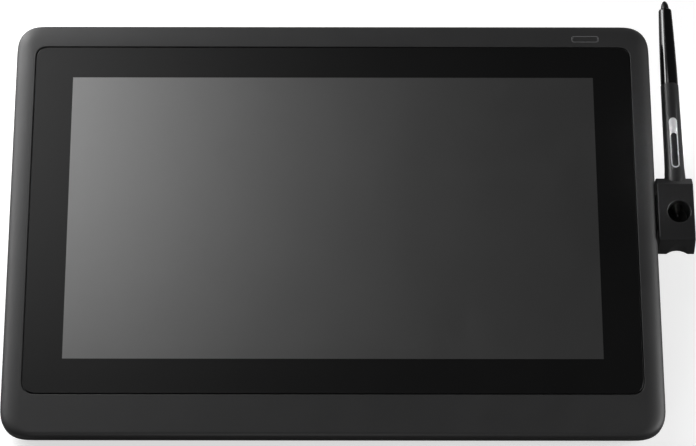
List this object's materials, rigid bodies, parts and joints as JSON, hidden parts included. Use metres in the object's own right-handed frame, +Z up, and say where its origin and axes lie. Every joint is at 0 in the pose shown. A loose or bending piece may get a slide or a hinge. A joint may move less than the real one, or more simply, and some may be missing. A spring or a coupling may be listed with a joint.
{
  "type": "pen display tablet",
  "caption": "Flat drawing tablet with a screen under etched glass, tilted on fold-out legs, with a battery-free pen in a holder block plugged into its side.",
  "frame": {"origin": "middle of the front foot's sloped contact face, on the desk, under the tablet's middle line", "axes": "+X to the user's right along the tablet's width, +Y away from the user, +Z up from the desk"},
  "size_m": [0.4474, 0.2923, 0.1086],
  "materials": {
    "case_plastic": "fine sparked texture",
    "leg_plastic": "fine sparked texture",
    "holder_plastic": "satin",
    "button_plastic": "satin",
    "light_ring": "translucent",
    "foot_rubber": "matt",
    "screen_glass": "etched",
    "screen_cell": "polarising film",
    "light_guide": "clear acrylic",
    "sheet_metal": "bright sheet",
    "shield_foil": "foil",
    "circuit_board": "solder resist",
    "chip_resin": "moulded resin",
    "flat_cable": "polyimide film",
    "screw_steel": "plated",
    "pen_gloss": "polished",
    "pen_rubber": "soft matt",
    "pen_plastic": "satin",
    "pen_silver": "satin silver",
    "ferrite": "sintered",
    "copper_wire": "enamelled wire"
  },
  "bodies": {
    "tablet": {"front_bezel": "case_plastic", "rear_cover": "case_plastic", "cover_screws": "screw_steel", "front_foot": "foot_rubber", "rear_feet": "foot_rubber", "left_leg_pin": "screw_steel", "right_leg_pin": "screw_steel", "lock_plate": "sheet_metal", "cover_glass": "screen_glass", "lcd_cell": "screen_cell", "light_guide": "light_guide", "led_strip": "light_guide", "backlight_tray": "sheet_metal", "panel_board": "circuit_board", "sensor_board": "circuit_board", "shield_sheet": "shield_foil", "chassis_plate": "sheet_metal", "chassis_screws": "screw_steel", "main_board": "circuit_board", "board_chips": "chip_resin", "board_screws": "screw_steel", "cable_port": "sheet_metal", "display_flex": "flat_cable", "sensor_flex": "flat_cable", "power_flex": "flat_cable", "power_ring": "light_ring", "power_switch": "screw_steel", "power_led": "light_ring", "power_board": "circuit_board", "power_board_screws": "screw_steel"},
    "power_button": {"power_button": "button_plastic", "power_plunger": "chip_resin"},
    "left_leg": {"left_leg": "leg_plastic", "left_leg_pad": "foot_rubber"},
    "right_leg": {"right_leg": "leg_plastic", "right_leg_pad": "foot_rubber"},
    "pen_holder": {"pen_holder": "holder_plastic"},
    "pen": {"pen_barrel": "pen_gloss", "pen_grip": "pen_rubber", "pen_nose": "pen_plastic", "pen_switch_frame": "pen_silver", "pen_switch_pin": "screw_steel", "pen_core_tube": "pen_plastic", "pen_board": "circuit_board", "pen_coil": "copper_wire", "pen_ferrite": "ferrite", "pen_pressure_sensor": "screw_steel", "pen_eraser_sensor": "screw_steel"},
    "pen_nib": {"pen_nib": "pen_plastic"},
    "pen_eraser": {"pen_eraser": "pen_plastic"},
    "pen_side_switch": {"pen_side_switch": "pen_plastic"}
  },
  "joints": [
    {"name": "power_press", "type": "slide", "parent": "tablet", "child": "power_button", "axis": [0, 0.3256, -0.9455], "range_m": [0, 0.0004], "stiffness_N_per_m": 800},
    {"name": "left_leg_fold", "type": "hinge", "parent": "tablet", "child": "left_leg", "pos_m": [-0.12, 0.20522, 0.07534], "axis": [1, 0, 0], "range_deg": [-90, 0]},
    {"name": "right_leg_fold", "type": "hinge", "parent": "tablet", "child": "right_leg", "pos_m": [0.12, 0.20522, 0.07534], "axis": [1, 0, 0], "range_deg": [-90, 0]},
    {"name": "holder_pull", "type": "slide", "parent": "tablet", "child": "pen_holder", "axis": [1, 0, 0], "range_m": [0, 0.012]},
    {"name": "pen_pull", "type": "slide", "parent": "pen_holder", "child": "pen", "axis": [-0.0084, 0.9455, 0.3256], "range_m": [0, 0.045]},
    {"name": "nib_press", "type": "slide", "parent": "pen", "child": "pen_nib", "axis": [-0.0084, 0.9455, 0.3256], "range_m": [0, 0.0004], "stiffness_N_per_m": 500},
    {"name": "eraser_press", "type": "slide", "parent": "pen", "child": "pen_eraser", "axis": [0.0084, -0.9455, -0.3256], "range_m": [0, 0.0006], "stiffness_N_per_m": 500},
    {"name": "side_switch_rock", "type": "hinge", "parent": "pen", "child": "pen_side_switch", "pos_m": [0.22492, 0.16838, 0.07636], "axis": [1, 0.0079, 0.0027], "range_deg": [-2.5, 2.5], "stiffness_Nm_per_rad": 0.2}
  ]
}
